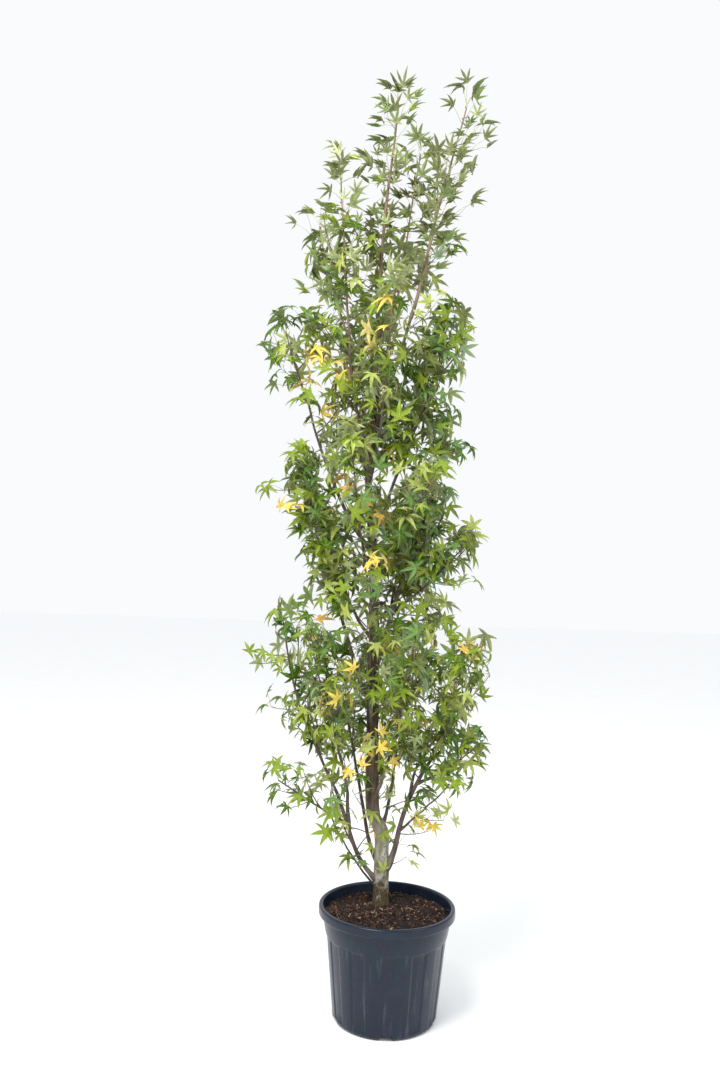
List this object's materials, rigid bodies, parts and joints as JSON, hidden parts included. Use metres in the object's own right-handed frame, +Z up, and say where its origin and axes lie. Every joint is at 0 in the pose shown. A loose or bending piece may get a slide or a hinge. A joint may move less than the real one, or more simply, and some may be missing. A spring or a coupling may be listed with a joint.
{
  "type": "potted sweetgum tree",
  "caption": "Young sweetgum tree in a round ribbed nursery pot, with a slender trunk, steep thin boughs in tiers and loose sprays of star-shaped leaves.",
  "frame": {"origin": "centre of the pot's flat underside", "axes": "+Z up, +X to the right and -Y towards the viewer as pictured"},
  "size_m": [0.9041, 0.7621, 3.5226],
  "materials": {
    "pot": "satin moulded plastic",
    "soil": "loose damp bark chips",
    "trunk_bark": "furrowed bark",
    "bough_bark": "thin smooth bark",
    "leaves": "satin leaf"
  },
  "bodies": {
    "root": {"bough_back_leader": "bough_bark", "bough_back_left": "bough_bark", "bough_back_low": "bough_bark", "bough_back_right": "bough_bark", "bough_front_leader": "bough_bark", "bough_front_left": "bough_bark", "bough_front_low": "bough_bark", "bough_front_middle": "bough_bark", "bough_front_right": "bough_bark", "bough_left_inner": "bough_bark", "bough_left_leader": "bough_bark", "bough_left_lobe": "bough_bark", "bough_left_low": "bough_bark", "bough_left_middle": "bough_bark", "bough_left_outer": "bough_bark", "bough_right_inner": "bough_bark", "bough_right_leader": "bough_bark", "bough_right_low": "bough_bark", "bough_right_middle": "bough_bark", "bough_right_outer": "bough_bark", "bough_right_shoot": "bough_bark", "bough_right_spur": "bough_bark", "bough_right_wing": "bough_bark", "bough_top_far_left": "bough_bark", "bough_top_far_right": "bough_bark", "bough_top_left": "bough_bark", "bough_top_middle": "bough_bark", "bough_top_right": "bough_bark", "leaves_back_leader": "leaves", "leaves_back_left": "leaves", "leaves_back_low": "leaves", "leaves_back_right": "leaves", "leaves_front_leader": "leaves", "leaves_front_left": "leaves", "leaves_front_low": "leaves", "leaves_front_middle": "leaves", "leaves_front_right": "leaves", "leaves_left_inner": "leaves", "leaves_left_leader": "leaves", "leaves_left_lobe": "leaves", "leaves_left_low": "leaves", "leaves_left_middle": "leaves", "leaves_left_outer": "leaves", "leaves_right_inner": "leaves", "leaves_right_leader": "leaves", "leaves_right_low": "leaves", "leaves_right_middle": "leaves", "leaves_right_outer": "leaves", "leaves_right_shoot": "leaves", "leaves_right_spur": "leaves", "leaves_right_wing": "leaves", "leaves_top_centre": "leaves", "leaves_top_far_left": "leaves", "leaves_top_far_right": "leaves", "leaves_top_left": "leaves", "leaves_top_middle": "leaves", "leaves_top_right": "leaves", "pot": "pot", "soil": "soil", "trunk": "trunk_bark"}
  },
  "joints": []
}
